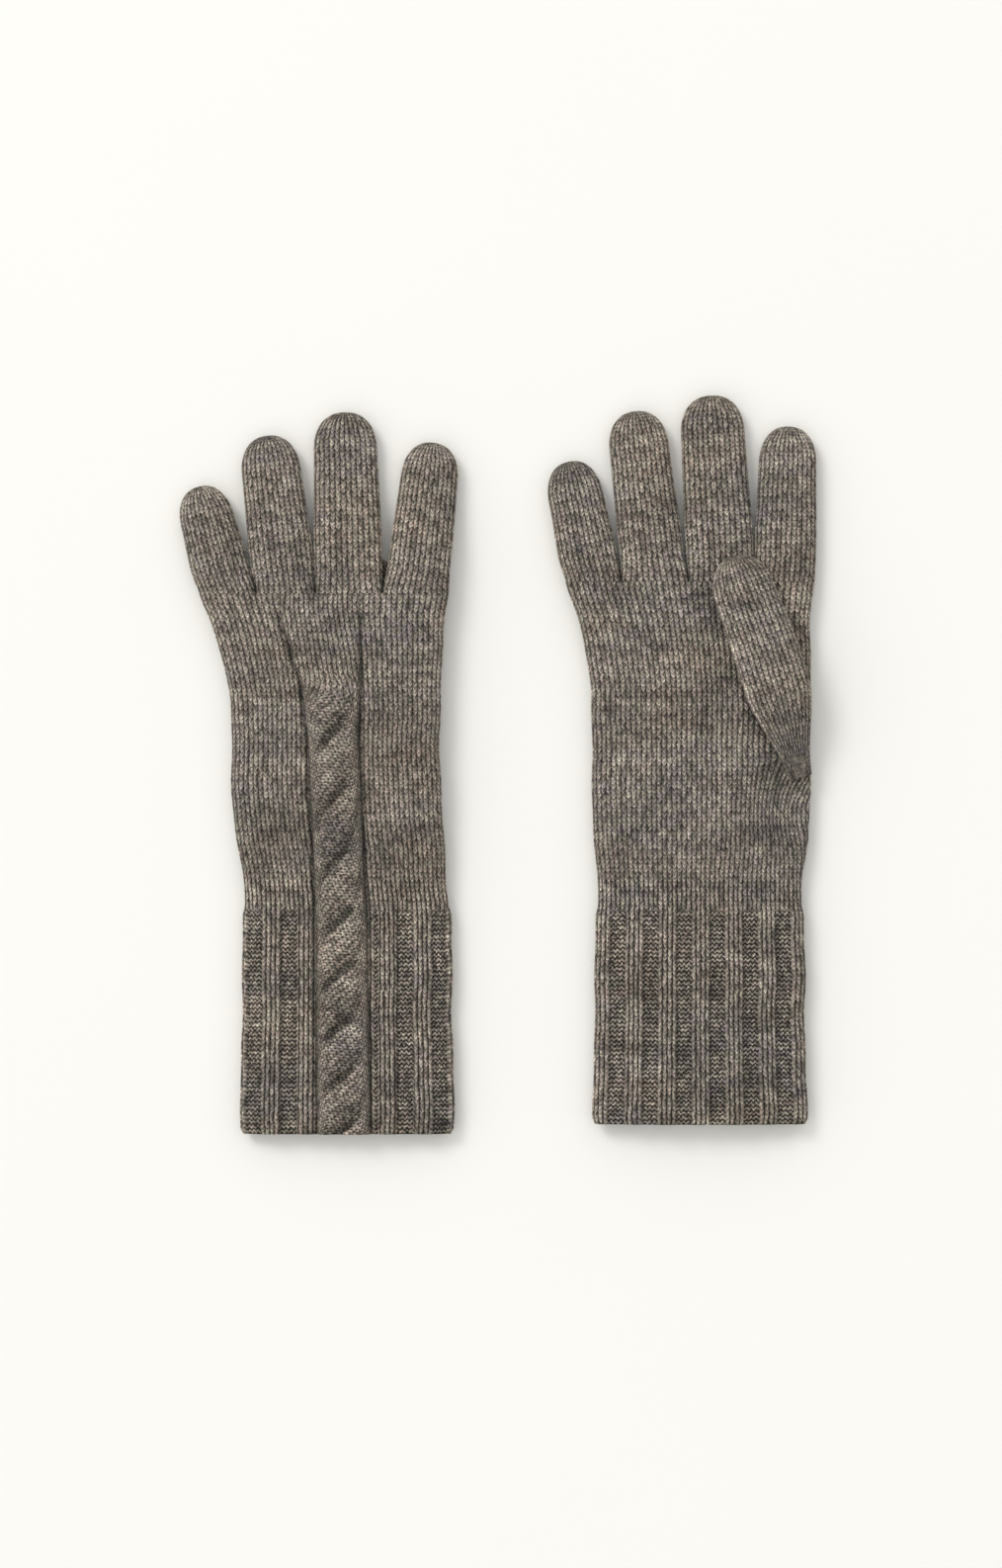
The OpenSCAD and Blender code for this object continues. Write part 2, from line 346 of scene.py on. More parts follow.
def cable_leaves(turn, across):
    """Height over the ground of a rope cable, the place in its turns, and the painted light on it.

    turn counts crossings along the rope, and across runs from -1 to 1 over its width. The
    strand of each crossing shows as a fat leaf that slants up to the right between two slots.
    """
    place = turn - 0.40 * across - 0.50 * across**5
    share = place - np.floor(place)
    nearest = np.minimum(share, 1 - share)
    side = np.sqrt(np.clip(1 - across * across, 0, 1))
    middle = 1 - ease((np.abs(across + 0.05) - 0.26) / 0.56)
    dip = bell(nearest / 0.17) * (0.30 + 0.70 * middle)
    height = side * (3.3 - 2.9 * dip)
    # Painted shade along the middle of each slot.
    slot = middle * (0.62 * bell(nearest / 0.13) + 0.62 * bell(nearest / 0.06))
    # Painted shade on each leaf's lower-right edge, and a painted highlight (below 0) on its upper-left
    # part.
    painted_leaf_light = side * (0.42 * bell(share / 0.38) - 0.26 * bell((share - 0.64) / 0.22))
    return height, place, np.maximum(slot, painted_leaf_light)


def cable_face(tube, glove):
    """1 on the face of the glove that has the cable, and 0 on the other."""
    perimeter = tube.walk[:, -1:] - tube.walk[:, :1]
    on_top = (np.abs(tube.walk) < perimeter / 4 - 4).astype(float)
    under = (np.abs(tube.walk - perimeter / 2) < perimeter / 4 - 4).astype(float)
    return on_top if glove.back_up else under


def knit_cable(tube, glove, on_face):
    """Works the cable, the sunk purl lines beside it and its fan into a tube."""
    cable = cable_settings()
    x, y = tube.base[:, :, 0], tube.base[:, :, 1]
    half = glove.cable_half(y)
    across = (x - glove.cable_middle(y)) / half
    s = y - glove.wrist_y
    turn = np.where(
        s > PITCH_CHANGE, (s - cable.first_slot) / cable.hand_pitch,
        (PITCH_CHANGE - cable.first_slot) / cable.hand_pitch
        + (s - PITCH_CHANGE) / cable.cuff_pitch,
    )
    height, place, dark = cable_leaves(turn, across)
    open_up = ease((s - cable.first_slot - FAN_START) / FAN_LENGTH)
    inside = on_face * (np.abs(across) < 1.0)
    edge = ease((1.04 - np.abs(across)) / 0.12)
    rope = height * edge * (1 - open_up)
    fan = 0.7 * np.sqrt(np.clip(1 - across * across, 0, 1)) * open_up
    fade = 1 - ease((s - 118) / 8)
    tube.relief += inside * cable.height * (rope + fan * fade)
    # Painted shade in the rope's slots and on its leaves' lower-right edges, and painted highlights on their
    # upper-left parts.
    tube.shade += inside * dark * (1 - open_up)
    gap = bell((np.abs(across) - 1.05) * half / 0.95) * on_face
    clear = 0.45 + 0.55 * ease((s + 9) / 9)
    tube.relief -= 1.25 * gap * fade
    # Painted shade in the sunk purl lines beside the cable, fainter on the cuff.
    tube.shade = np.maximum(tube.shade, gap * fade * clear * 0.85)
    strands = inside * (1 - open_up)
    opening = (FAN_START + FAN_LENGTH / 2) / cable.hand_pitch
    leaf_wale = cable.leaf_wales * (opening - place)
    fan_wale = across * half / knit_settings().wale
    cable_wale = leaf_wale * (1 - open_up) + fan_wale * open_up
    tube.wale = np.where(inside > 0.5, cable_wale, tube.wale)
    tube.purl = np.where(inside > 0.5, 0.50 * (1 - open_up), tube.purl)
    tube.wale_relief *= 1 - 0.60 * strands
    leaf_course = tube.course + 0.6 * across * half / knit_settings().course
    cable_course = leaf_course * (1 - open_up) + tube.course * open_up
    tube.course = np.where(inside > 0.5, cable_course, tube.course)


def rib_cuff(tube, glove, on_cable_face):
    """Works the broad knit ribs and purl channels below the wrist into a tube."""
    knit = knit_settings()
    perimeter = tube.walk[:, -1:] - tube.walk[:, :1]
    x, y = tube.base[:, :, 0], tube.base[:, :, 1]
    if glove.back_up:
        place = np.abs(np.where(tube.walk > perimeter / 2, tube.walk - perimeter, tube.walk))
        phase = (place - FIRST_RIB) / ((perimeter / 2 - FIRST_RIB) / 5)
        ribbed = ease((place - 10.5) / 1.5)
    else:
        phase = tube.walk / (perimeter / RIBS_ROUND)
        beside = ease((np.abs(x - glove.cable_middle(y)) - 11) / 2)
        ribbed = 1 - on_cable_face * (1 - beside)
    wave = np.cos(2 * math.pi * phase)
    column = ease((wave + 0.32) / 0.5)
    below = ease((glove.wrist_y + 2.0 - y) / 5.0)
    tube.purl = np.maximum(tube.purl, (1 - column) * below * ribbed)
    on_top = np.where(tube.normal[:, :, 2] > 0, 1.0, 0.5)
    tube.relief += (column * 1.5 - 0.75) * knit.rib_relief * below * ribbed * on_top
    # Painted shade: dark lines where each knit rib drops into its purl channel, and the sunk purl channels
    # darker.
    tube.shade = np.maximum(tube.shade, 0.75 * bell((wave + 0.25) / 0.17) * below * ribbed)
    tube.shade = np.maximum(tube.shade, 0.28 * (1 - column) * below * ribbed)
    tube.wale_relief *= 1.0 + 0.5 * below
    hem = ease((y - glove.hem_y) / 2.4)
    tube.relief -= (1 - hem) * 0.9


# ---------------------------------------------------------------- tubes of a glove

def row_places(start, end, step):
    """Evenly spaced rows from start to end."""
    return np.linspace(start, end, max(2, int(round(abs(end - start) / step)) + 1))


def pinch_palm(x, y, z, top, pinch):
    """Sinks the right palm at the thumb's pinch, and in the folds that run out from it."""
    off_x, off_y = x - pinch[0], y - pinch[1]
    z -= np.where(top, 1.3 * bell(np.hypot(off_x, off_y) / 7.0), 0)
    for angle, reach, depth in PINCH_FOLDS:
        dx, dy = math.cos(math.radians(angle)), math.sin(math.radians(angle))
        along = off_x * dx + off_y * dy
        off = off_x * dy - off_y * dx
        fold = bell(off / (2.2 + along.clip(0) * 0.08)) * ease(along / 6)
        z -= np.where(top, depth * fold * ease((reach - along) / reach), 0)


def thumb_shade(glove, x, y, top, pinch):
    """Painted shade on the right palm beside its thumb and in a pocket left of the pinch, with a painted
    highlight below the pinch.
    """
    off_x, off_y = x - pinch[0], y - pinch[1]
    rim_x, rim_y = thumb_rim(glove)
    length = math.hypot(rim_x - pinch[0], rim_y - pinch[1])
    dx, dy = (rim_x - pinch[0]) / length, (rim_y - pinch[1]) / length
    off = off_x * dy - off_y * dx
    along = (off_x * dx + off_y * dy) / length
    # Painted shade along the thumb's free side, fading out past its tip.
    dark = 0.36 * bell(np.where(off < 0, off / 13, off / 4)) * ease((along + 0.15) / 0.4)
    dark *= 1 - ease((along - 0.95) / 0.35)
    # Painted shade in a pocket left of the pinch.
    dark += 0.36 * bell(np.hypot(off_x + 5, off_y - 1) / 6.0)
    # Painted highlight on the smooth patch below and right of the pinch.
    dark -= 0.45 * bell(np.hypot(off_x - 3.5, off_y + 5) / 5.0)
    return dark * top


def body_tube(glove, start, end):
    """The outer face of the hand and cuff between two places along the glove."""
    knit = knit_settings()
    y = row_places(start, end, knit.course / knit.rows_per_course)
    left, right = glove.edges(y)
    columns = knit.hand_wales * knit.columns_per_wale
    half_t = np.full(len(y), glove.thick / 2 - RELIEF_ROOM)
    side = np.full(len(y), EDGE_ROUND)
    across, height, walk = ring_sections((right - left) / 2, half_t, side, side, columns)
    middle = ((left + right) / 2)[:, None]
    low = glove.underside(y)[:, None]
    x = middle + across
    yy = np.repeat(y[:, None], columns + 1, axis=1)
    share = across / ((right - left) / 2)[:, None]
    z = low + glove.thick / 2 + height * (1 + 0.07 * (1 - share**2))
    z -= glove.droop(x, yy, low)
    top = height > 0
    pinch = thumb_pinch(glove)
    if not glove.back_up:
        pinch_palm(x, yy, z, top, pinch)
    for web_x in glove_webs(glove)[1:-1]:
        near = np.hypot((x - web_x) * 1.4, (yy - glove.web_y) * 0.55)
        z -= np.sign(height) * 1.5 * bell(near / 2.6)
    points = np.stack([x, yy, z], axis=2)
    tube = Tube(points, walk, y - glove.wrist_y, knit.hand_wales)
    if not glove.back_up:
        tube.shade = thumb_shade(glove, x, yy, top, pinch)
        below = np.clip(pinch[1] - yy, -6, None)
        pulled = bell((x - pinch[0] - 4) / 15) * bell(below / 22) * top
        tube.wale += 0.62 * below * pulled / knit.wale
    return tube


def glove_webs(glove):
    """Places across of the two outer edges and the three webs, from left to right."""
    roots = []
    for finger in FINGERS:
        points = node_points(f"{glove.side}_{finger}_finger_base")
        row = points[points[:, 1] < points[:, 1].min() + 0.05]
        roots.append((row[:, 0].min(), row[:, 0].max()))
    middles = [(one[1] + following[0]) / 2 for one, following in zip(roots, roots[1:])]
    left, right = glove.edges(np.array([glove.web_y]))
    return [float(left[0]), *middles, float(right[0])]


def thumb_pinch(glove):
    """Where the thumb's free side runs out into the palm."""
    low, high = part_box(glove.side + "_thumb_gusset")
    return high.x / MM - 8.6, low.y / MM + 0.6


def thumb_rim(glove):
    """Where the thumb's free side starts to round off to its tip."""
    tip = node_points(glove.side + "_thumb_tip")
    at = np.array(JOINTS[glove.side + "_thumb_knuckle"]["pos_m"][:2]) / MM
    low = tip[np.argmin(tip[:, 0])]
    return float(low[0]), float(max(low[1], at[1]))


def finger_tube(glove, finger):
    """The whole outer face of one finger, with the distance along it of its two knuckles."""
    knit = knit_settings()
    name = f"{glove.side}_{finger}_finger"
    first = np.array(JOINTS[f"{glove.side}_{finger}_first_knuckle"]["pos_m"][:2]) / MM
    second = np.array(JOINTS[f"{glove.side}_{finger}_second_knuckle"]["pos_m"][:2]) / MM
    heading = (second - first) / np.linalg.norm(second - first)
    lean = math.atan2(-heading[0], heading[1])
    root = first - heading * (first[1] - glove.web_y) / heading[1]
    rings = node_rings(node_points(name + "_middle", name + "_tip"), root, lean)
    index = FINGERS.index(finger)
    webs = glove_webs(glove)
    left_x, right_x = webs[index], webs[index + 1]
    length = rings[-1, 0] + 0.5
    dome = knit.tip_dome
    full = rings[rings[:, 0] < length - dome + 0.5]

    fine = np.linspace(0, length, 600)
    wide = np.interp(fine, full[:, 0], (full[:, 2] - full[:, 1]) / 2)
    round_off = np.clip((fine - length + dome) / dome, 0, 1)
    profile = wide * np.power(1 - np.power(round_off, 2.3), 1 / 2.3)
    walked = np.concatenate([[0], np.cumsum(np.hypot(np.diff(fine), np.diff(profile)))])
    steps = row_places(0, walked[-1], knit.course / knit.rows_per_course)
    s = np.interp(steps, walked, fine)
    half_w = np.interp(s, fine, profile)
    share = half_w / np.interp(s, fine, wide)

    joined = 1 - ease(s / ROOT_LENGTH)
    half_w = half_w * (1 - joined) + (right_x - left_x) / 2 * joined
    half_t = (glove.thick / 2 - RELIEF_ROOM) * np.power(share, 0.8)
    inner_r = 1.6 + 5.0 * ease(s / 11)
    outer_r = np.full(len(s), EDGE_ROUND)
    last = len(FINGERS) - 1
    left_r = outer_r if index == 0 else inner_r
    right_r = outer_r if index == last else inner_r
    columns = knit.finger_wales * knit.columns_per_wale
    across, height, walk = ring_sections(half_w, half_t, left_r, right_r, columns)
    turn = lean * ease(s / ROOT_LENGTH)
    centre = root[None, :] + s[:, None] * heading[None, :]
    pull = joined * ((left_x + right_x) / 2 - root[0])
    x = (centre[:, 0] + pull)[:, None] + across * np.cos(turn)[:, None]
    y = centre[:, 1][:, None] + across * np.sin(turn)[:, None]
    share_x = across / np.maximum(half_w, 1.0)[:, None]
    crown = 1 + (0.07 + 0.10 * ease(s / 14))[:, None] * (1 - share_x**2)
    low = float(glove.underside(np.array([glove.web_y]))[0])
    root_low = low - glove.droop(x[0], np.full(x[0].shape, glove.web_y), low)
    settle = 1 - ease((s - 15) / 34)
    under = root_low[None, :] * settle[:, None]
    z = under + glove.thick / 2 + height * crown
    points = np.stack([x, y, z], axis=2)
    tube = Tube(points, walk, steps + glove.web_y - glove.wrist_y, knit.finger_wales)
    knuckles = [float(np.dot(k - root, heading)) for k in (first, second)]
    crevice = np.zeros(walk.shape)
    if index > 0:
        crevice = np.maximum(crevice, ease((-share_x - 0.86) / 0.14))
    if index < last:
        crevice = np.maximum(crevice, ease((share_x - 0.86) / 0.14))
    # Painted shade where the fingers' sides press together near their roots.
    tube.shade = np.maximum(tube.shade, 0.8 * crevice * (1 - ease(s / 16))[:, None])
    return tube, knuckles, root, heading, s


def thumb_tube(glove):
    """The outer face of one folded thumb, from its pinch at the palm's edge to its tip."""
    knit = knit_settings()
    side = glove.side
    base = node_points(side + "_thumb_base")
    tip = node_points(side + "_thumb_tip")
    low_z, high_z = base[:, 2].min(), base[:, 2].max()
    knuckle = JOINTS[side + "_thumb_knuckle"]
    axis = np.array(knuckle["axis"][:2])
    axis = axis * np.sign(axis[0])
    heading = np.array([-axis[1], axis[0]])
    at = np.array(knuckle["pos_m"][:2]) / MM
    reach = ((tip[:, :2] - at) @ heading).max() + 0.6
    back = ((base[:, :2] - at) @ heading).min()
    half = (((base[:, :2] - at) @ axis).max() - ((base[:, :2] - at) @ axis).min()) / 2
    pinch_x, pinch_y = thumb_pinch(glove)
    fold_x = JOINTS[side + "_thumb_fold"]["pos_m"][0] / MM

    fine = np.linspace(0, 1, 500)
    tip_at = at + heading * reach
    spine_start = np.array([(pinch_x + fold_x) / 2, pinch_y - 1.0])
    spine_mid = at + heading * back
    first = ease(fine / 0.62)
    line = spine_start[None, :] * (1 - first)[:, None] + spine_mid[None, :] * first[:, None]
    beyond = np.clip((fine - 0.40) / 0.60, 0, 1)
    straight = spine_mid[None, :] + (tip_at - spine_mid)[None, :] * beyond[:, None]
    mixed = ease((fine - 0.35) / 0.3)[:, None]
    line = line * (1 - mixed) + straight * mixed
    walked = np.concatenate([[0], np.cumsum(np.linalg.norm(np.diff(line, axis=0), axis=1))])
    total = walked[-1]
    start_half = (fold_x - pinch_x) / 2 + 0.6
    wide = start_half + (half - 0.6 - start_half) * ease(walked / (total * 0.42))
    wide = wide * (1 - 0.09 * ease((walked - total * 0.5) / (total * 0.5)))
    dome = 15.0
    round_off = np.clip((walked - total + dome) / dome, 0, 1)
    profile = wide * np.power(1 - np.power(round_off, 2.2), 1 / 2.2)
    pace = np.concatenate([[0], np.cumsum(np.hypot(np.diff(walked), np.diff(profile)))])
    steps = row_places(0, pace[-1], knit.course / knit.rows_per_course)
    s = np.interp(steps, pace, walked)
    centre = np.stack([np.interp(s, walked, line[:, k]) for k in (0, 1)], axis=1)
    tangent = np.gradient(centre, axis=0)
    tangent /= np.maximum(np.linalg.norm(tangent, axis=1, keepdims=True), 1e-9)
    half_w = np.interp(s, walked, profile)
    share = half_w / np.interp(s, walked, wide)
    full_t = (high_z - low_z) / 2
    grow = 0.14 + 0.86 * ease(s / 38)
    half_t = full_t * grow * np.power(share, 0.8)
    side_r = np.minimum(6.2, half_w)
    columns = knit.thumb_wales * knit.columns_per_wale
    across, height, walk = ring_sections(half_w, half_t, side_r, side_r, columns)
    x = centre[:, :1] + across * tangent[:, 1:]
    y = centre[:, 1:] - across * tangent[:, :1]
    right_edge = fold_x + 0.4
    x = np.where(x > right_edge - 2, right_edge - 2 + 2 * np.tanh((x - right_edge + 2) / 2), x)
    share_x = across / np.maximum(half_w, 1.0)[:, None]
    crown = 1 + 0.12 * (1 - share_x**2)
    sunk = (1 - ease(s / 30))[:, None]
    if glove.back_up:
        z = low_z + full_t + height * crown
    else:
        z = low_z + (full_t * grow)[:, None] + height * crown - 1.5 * sunk
        z -= glove.droop(x, y, glove.underside(np.array([pinch_y]))[0]) * sunk
    points = np.stack([x, y, z], axis=2)
    tube = Tube(points, walk, steps, knit.thumb_wales)
    # Painted highlight along the thumb's left rim.
    tube.shade = -0.8 * bell((share_x + 0.95) / 0.09) * (height > -2)
    return tube, at, heading


# ---------------------------------------------------------------- wool

class NodeLine:
    """Short ways to place shader nodes in a material."""

    def __init__(self, name):
        self.material = bpy.data.materials.new(name)
        self.material.use_nodes = True
        self.tree = self.material.node_tree
        self.tree.nodes.clear()

    def node(self, kind, **settings):
        made = self.tree.nodes.new(kind)
        for key, value in settings.items():
            setattr(made, key, value)
        return made

    def join(self, value, socket):
        if isinstance(value, (int, float, tuple)):
            socket.default_value = value
        else:
            self.tree.links.new(value, socket)

    def math(self, operation, a, b=0.0, c=0.0):
        made = self.node("ShaderNodeMath", operation=operation)
        self.join(a, made.inputs[0])
        self.join(b, made.inputs[1])
        self.join(c, made.inputs[2])
        return made.outputs[0]

    def vector(self, x, y, z=0.0):
        made = self.node("ShaderNodeCombineXYZ")
        for value, socket in zip((x, y, z), made.inputs):
            self.join(value, socket)
        return made.outputs[0]

    def noise(self, at, scale, detail=3.0, roughness=0.55):
        made = self.node("ShaderNodeTexNoise")
        self.join(at, made.inputs["Vector"])
        made.inputs["Scale"].default_value = scale
        made.inputs["Detail"].default_value = detail
        made.inputs["Roughness"].default_value = roughness
        return made.outputs["Fac"]

    def random(self, at):
        made = self.node("ShaderNodeTexWhiteNoise", noise_dimensions="3D")
        self.join(at, made.inputs["Vector"])
        return made

    def mix(self, share, a, b):
        made = self.node("ShaderNodeMix", data_type="RGBA")
        self.join(share, made.inputs[0])
        self.join(a, made.inputs[6])
        self.join(b, made.inputs[7])
        return made.outputs[2]

    def wave(self, turns):
        """A smooth wave between 0 and 1, at its top at every whole turn."""
        swing = self.math("COSINE", self.math("MULTIPLY", turns, 2 * math.pi))
        return self.math("MULTIPLY_ADD", swing, 0.5, 0.5)

    def remap(self, value, low, high, to_low=0.0, to_high=1.0):
        made = self.node("ShaderNodeMapRange", clamp=True)
        for entry, socket in zip((value, low, high, to_low, to_high), made.inputs):
            self.join(entry, socket)
        return made.outputs[0]


def heathered_wool(name, tint, gap):
    """Fine heathered wool: stitch legs, a random tone for each leg, streaky courses and fuzz, with painted
    shade and highlights.
    """
    wool = wool_settings()
    line = NodeLine(name)
    knit = line.node("ShaderNodeUVMap", uv_map="Knit")
    split = line.node("ShaderNodeSeparateXYZ")
    line.join(knit.outputs[0], split.inputs[0])
    u, v = split.outputs[0], split.outputs[1]
    purl = line.node("ShaderNodeAttribute", attribute_name="Purl").outputs["Fac"]
    shade = line.node("ShaderNodeAttribute", attribute_name="Shade").outputs["Fac"]
    place = line.node("ShaderNodeTexCoord").outputs["Object"]

    wander = line.noise(place, 420.0, 2.0)
    u_soft = line.math("ADD", u, line.math("MULTIPLY", line.math("SUBTRACT", wander, 0.5), 0.50))
    drift = line.noise(place, 610.0, 2.0)
    v_soft = line.math("ADD", v, line.math("MULTIPLY", line.math("SUBTRACT", drift, 0.5), 0.85))

    inside = line.math("FRACT", u_soft)
    middle = line.math("ABSOLUTE", line.math("SUBTRACT", line.math("MULTIPLY", inside, 2.0), 1.0))
    chevron = line.math("SUBTRACT", v_soft, line.math("MULTIPLY", middle, 0.75))
    leg_round = line.wave(chevron)
    edge_dip = line.math("MULTIPLY", line.math("POWER", middle, 2.1), gap)
    centre = line.math("POWER", line.math("SUBTRACT", 1.0, middle), 4.0)
    centre_dip = line.math("MULTIPLY", centre, 0.22)
    rounds = line.math("SUBTRACT", line.math("SUBTRACT", 1.0, edge_dip), centre_dip)
    knit_height = line.math("MULTIPLY", line.math("MULTIPLY_ADD", leg_round, 0.60, 0.40), rounds)
    wave = line.math("COSINE", line.math("MULTIPLY", u_soft, 2 * math.pi))
    purl_height = line.wave(line.math("MULTIPLY_ADD", wave, 0.22, v_soft))
    height = line.math(
        "ADD", line.math("MULTIPLY", knit_height, line.math("SUBTRACT", 1.0, purl)),
        line.math("MULTIPLY", purl_height, purl),
    )

    leg = line.math("FLOOR", line.math("MULTIPLY", u_soft, 2.0))
    row = line.math("FLOOR", chevron)
    dice = line.random(line.vector(leg, row, 3.0))
    split_dice = line.node("ShaderNodeSeparateColor")
    line.join(dice.outputs["Color"], split_dice.inputs[0])
    fleck = split_dice.outputs[0]
    hue = split_dice.outputs[1]

    streak_at = line.vector(line.math("MULTIPLY", u, 0.10), line.math("MULTIPLY", v, 0.42))
    streak = line.noise(streak_at, 1.0, 4.0, 0.6)
    wide = line.node("ShaderNodeMapping")
    wide.inputs["Scale"].default_value = (0.55, 1.25, 1.0)
    line.join(place, wide.inputs["Vector"])
    mottle = line.noise(wide.outputs[0], 62.0, 4.0, 0.6)
    cast = line.noise(wide.outputs[0], 38.0, 3.0, 0.6)
    fibre = line.noise(place, 2600.0, 3.0, 0.7)
    grain = line.noise(place, 1150.0, 2.0, 0.6)

    brown, olive, plum = wool.brown, wool.olive, wool.plum
    tone = line.mix(line.remap(cast, 0.38, 0.62), tuple(brown), tuple(plum))
    greener = line.math("ADD", line.math("MULTIPLY", hue, 0.6), streak)
    tone = line.mix(line.remap(greener, 0.55, 1.05), tone, tuple(olive))
    painted_falloff_at = line.node("ShaderNodeSeparateXYZ")
    line.join(place, painted_falloff_at.inputs[0])
    light = line.remap(fleck, 0.0, 1.0, 1 - wool.fleck, 1 + wool.fleck)
    for value, low, high, at_low, at_high in (
        (streak, 0.32, 0.68, 0.76, 1.24),
        (mottle, 0.34, 0.66, 0.74, 1.26),
        (fibre, 0.25, 0.75, 0.50, 1.50),
        (grain, 0.30, 0.70, 0.48, 1.52),
        # Painted shade in the hollows between stitch legs and wales, and a painted highlight on the legs.
        (height, 0.02, 0.85, 0.06, 1.95),
        # Painted light from the Shade attribute: painted shade above 0, a painted highlight below 0.
        (shade, -1.0, 1.0, 1.72, 0.28),
        # Painted falloff of the light: lighter towards the fingertips, darker towards the cuffs.
        (painted_falloff_at.outputs[1], -0.10, 0.14, 0.97, 1.14),
    ):
        light = line.math("MULTIPLY", light, line.remap(value, low, high, at_low, at_high))
    light = line.math("MULTIPLY", light, tint)
    scaled = line.node("ShaderNodeVectorMath", operation="SCALE")
    line.join(tone, scaled.inputs[0])
    line.join(light, scaled.inputs["Scale"])

    fuzz = line.math("MULTIPLY_ADD", fibre, 0.35, height)
    bump = line.node("ShaderNodeBump")
    bump.inputs["Strength"].default_value = 1.0
    bump.inputs["Distance"].default_value = 0.0007
    line.join(fuzz, bump.inputs["Height"])

    skin = line.node("ShaderNodeBsdfPrincipled")
    line.join(scaled.outputs[0], skin.inputs["Base Color"])
    line.join(bump.outputs[0], skin.inputs["Normal"])
    skin.inputs["Roughness"].default_value = 0.92
    skin.inputs["Specular IOR Level"].default_value = 0.18
    skin.inputs["Sheen Weight"].default_value = 0.08
    skin.inputs["Sheen Roughness"].default_value = 0.55
    skin.inputs["Sheen Tint"].default_value = (0.82, 0.78, 0.72, 1.0)
    out = line.node("ShaderNodeOutputMaterial")
    line.join(skin.outputs[0], out.inputs[0])
    return line.material


def wool_for(slot):
    """The wool of one finish, made the first time it is asked for."""
    # Tint and depth of the dips between wales of each finish; a deeper dip gives more bump and more painted
    # shade between the wales.
    looks = {"plain_knit": (0.92, 0.96), "ribbed_knit": (1.08, 1.15)}
    found = bpy.data.materials.get("wool_" + slot)
    return found or heathered_wool("wool_" + slot, *looks[slot])


# ---------------------------------------------------------------- settings

class KnitSettings(bpy.types.PropertyGroup):
    """Sizes of the stitches, in millimetres unless said."""

    wale: bpy.props.FloatProperty(
        name="Wale", description="Width of one stitch", default=1.98, min=1.2, max=4.0
    )
    course: bpy.props.FloatProperty(
        name="Course", description="Height of one stitch", default=1.9, min=1.2, max=4.0
    )
    hand_wales: bpy.props.IntProperty(
        name="Hand wales", description="Stitches round a hand", default=91, min=60, max=120
    )
    finger_wales: bpy.props.IntProperty(
        name="Finger wales", description="Stitches round a finger", default=28, min=16, max=40
    )
    thumb_wales: bpy.props.IntProperty(
        name="Thumb wales", description="Stitches round a thumb", default=29, min=16, max=40
    )
    columns_per_wale: bpy.props.IntProperty(
        name="Columns", description="Mesh columns for each wale", default=5, min=3, max=6
    )
    rows_per_course: bpy.props.IntProperty(
        name="Rows", description="Mesh rows for each course", default=3, min=2, max=4
    )
    wall: bpy.props.FloatProperty(
        name="Wall", description="Thickness of the knit", default=1.4, min=0.8, max=2.2
    )
    wale_relief: bpy.props.FloatProperty(
        name="Wale relief", description="How far a wale stands up", default=0.42, min=0.0, max=0.8
    )
    purl_relief: bpy.props.FloatProperty(
        name="Purl relief", description="How far a purl bump stands up", default=0.26,
        min=0.0, max=0.8
    )
    rib_relief: bpy.props.FloatProperty(
        name="Rib relief", description="How far a cuff rib stands up", default=1.15,
        min=0.0, max=2.0
    )
    tip_dome: bpy.props.FloatProperty(
        name="Fingertip", description="Length over which a fingertip rounds off", default=16.0,
        min=8.0, max=24.0
    )


class CableSettings(bpy.types.PropertyGroup):
    """Sizes of the cable, in millimetres unless said."""

    height: bpy.props.FloatProperty(
        name="Height", description="Scale of the rope's height", default=0.95, min=0.2, max=1.4
    )
    first_slot: bpy.props.FloatProperty(
        name="First slot", description="Height above the wrist of one slot", default=72.5,
        min=40.0, max=110.0
    )
    hand_pitch: bpy.props.FloatProperty(
        name="Hand pitch", description="Length of a crossing on the hand", default=25.6,
        min=16.0, max=32.0
    )
    cuff_pitch: bpy.props.FloatProperty(
        name="Cuff pitch", description="Length of a crossing on the cuff", default=21.4,
        min=16.0, max=32.0
    )
    leaf_wales: bpy.props.FloatProperty(
        name="Leaf wales", description="Stitches across one strand of the rope", default=7.0,
        min=4.0, max=9.0
    )


class WoolSettings(bpy.types.PropertyGroup):
    """The three wools that the yarn is blended from."""

    brown: bpy.props.FloatVectorProperty(
        name="Brown", description="Warm fibre", subtype="COLOR", size=4,
        default=(0.242, 0.194, 0.160, 1.0), min=0.0, max=1.0
    )
    olive: bpy.props.FloatVectorProperty(
        name="Olive", description="Green-grey fibre", subtype="COLOR", size=4,
        default=(0.210, 0.193, 0.156, 1.0), min=0.0, max=1.0
    )
    plum: bpy.props.FloatVectorProperty(
        name="Plum", description="Cool grey fibre", subtype="COLOR", size=4,
        default=(0.200, 0.171, 0.170, 1.0), min=0.0, max=1.0
    )
    fleck: bpy.props.FloatProperty(
        name="Fleck", description="How much one stitch leg differs from the next", default=0.56,
        min=0.0, max=0.9
    )


class StageSettings(bpy.types.PropertyGroup):
    """The floor, the light and the camera."""

    floor: bpy.props.FloatVectorProperty(
        name="Floor", description="Colour of the floor", subtype="COLOR", size=4,
        default=(0.93, 0.923, 0.895, 1.0), min=0.0, max=1.0
    )
    view_height: bpy.props.FloatProperty(
        name="View height", description="Height of the camera over the floor", unit="LENGTH",
        default=1.528, min=0.8, max=3.0
    )
    key: bpy.props.FloatProperty(
        name="Key light", description="Power of the key light in watts", default=162.0, min=0.0,
        max=1000.0
    )
    sky: bpy.props.FloatProperty(
        name="Soft light", description="Strength of the light from all round", default=0.715,
        min=0.0, max=3.0
    )
    slant: bpy.props.FloatProperty(
        name="Slant", description="How much more soft light comes from the upper left",
        default=0.62, min=0.0, max=0.95
    )


def knit_settings():
    return bpy.context.scene.glove_knit


def cable_settings():
    return bpy.context.scene.glove_cable


def wool_settings():
    return bpy.context.scene.glove_wool


